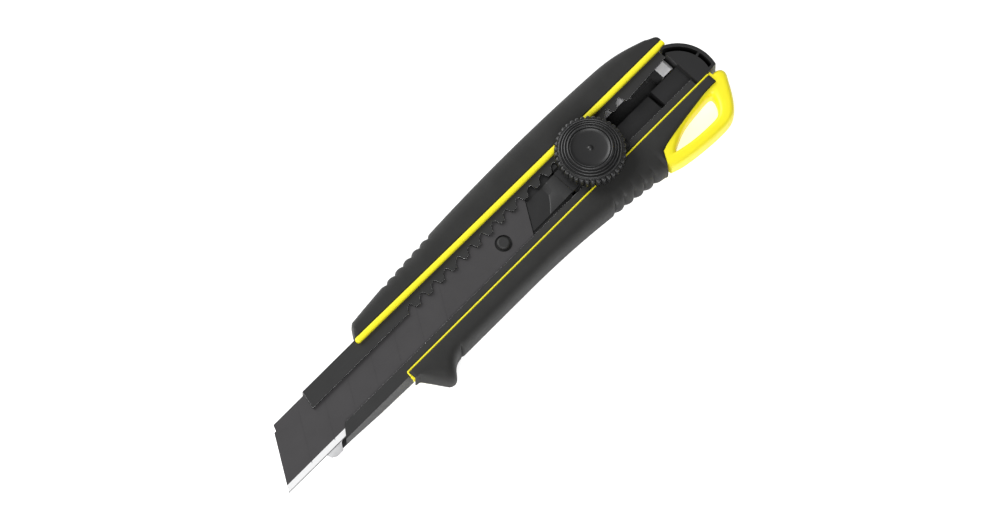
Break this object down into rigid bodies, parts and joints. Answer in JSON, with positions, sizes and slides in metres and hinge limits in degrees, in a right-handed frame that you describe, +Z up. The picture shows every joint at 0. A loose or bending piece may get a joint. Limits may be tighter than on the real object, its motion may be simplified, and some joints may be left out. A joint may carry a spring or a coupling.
{
  "type": "snap-off utility knife",
  "caption": "Snap-off utility knife with a rubber-gripped handle, a steel blade channel, a sliding blade carriage locked by a knurled dial, a lanyard loop and a pull-off end cap.",
  "frame": {"origin": "on the flat back pad that the knife lies on, under the blade's centre line, midway along the knife with the blade out as at rest", "axes": "+X forward to the blade's tip, +Y towards the cutting edge and finger guard, +Z up out of the dial"},
  "size_m": [0.1852, 0.0422, 0.0221],
  "materials": {
    "yellow_plastic": "satin moulded",
    "grip_rubber": "matt moulded elastomer",
    "black_steel": "satin black coat",
    "bright_steel": "bright spring and rivet steel",
    "blade_steel": "black oxide with a ground edge",
    "black_plastic": "fine moulded texture",
    "brass": "turned"
  },
  "bodies": {
    "handle": {"core": "yellow_plastic", "upper_grip": "grip_rubber", "lower_grip": "grip_rubber", "back_pad": "grip_rubber", "blade_holder": "black_steel", "holder_rivets": "bright_steel", "blade_spring": "bright_steel", "spring_rivet": "bright_steel", "tail_leaf": "bright_steel", "leaf_rivet": "bright_steel"},
    "carriage": {"slider": "black_plastic", "blade": "blade_steel", "blade_pin": "black_steel", "slider_spring": "bright_steel", "slider_rivet": "bright_steel", "release_spring": "bright_steel", "washer": "bright_steel"},
    "clamp": {"clamp_plate": "black_steel", "clamp_bolt": "bright_steel", "dial_clip": "bright_steel"},
    "dial": {"dial": "black_plastic", "dial_insert": "brass", "dial_cap": "black_plastic"},
    "cap": {"end_cap": "black_plastic"}
  },
  "joints": [
    {"name": "blade_slide", "type": "slide", "parent": "handle", "child": "carriage", "axis": [1, 0, 0], "range_m": [-0.0231, 0.0618]},
    {"name": "dial_turn", "type": "hinge", "parent": "carriage", "child": "dial", "pos_m": [-0.045, 0.001, 0.0159], "axis": [0, 0, -1], "range_deg": [0, 360]},
    {"name": "clamp_lift", "type": "slide", "parent": "carriage", "child": "clamp", "axis": [0, 0, 1], "range_m": [0, 0.0008], "deforming": ["release_spring"]},
    {"name": "cap_pull", "type": "slide", "parent": "handle", "child": "cap", "axis": [-1, 0, 0], "range_m": [0, 0.03]}
  ],
  "couplings": [
    {"joint": "dial_turn", "follows": "clamp_lift", "rad_per_m": 7854}
  ]
}
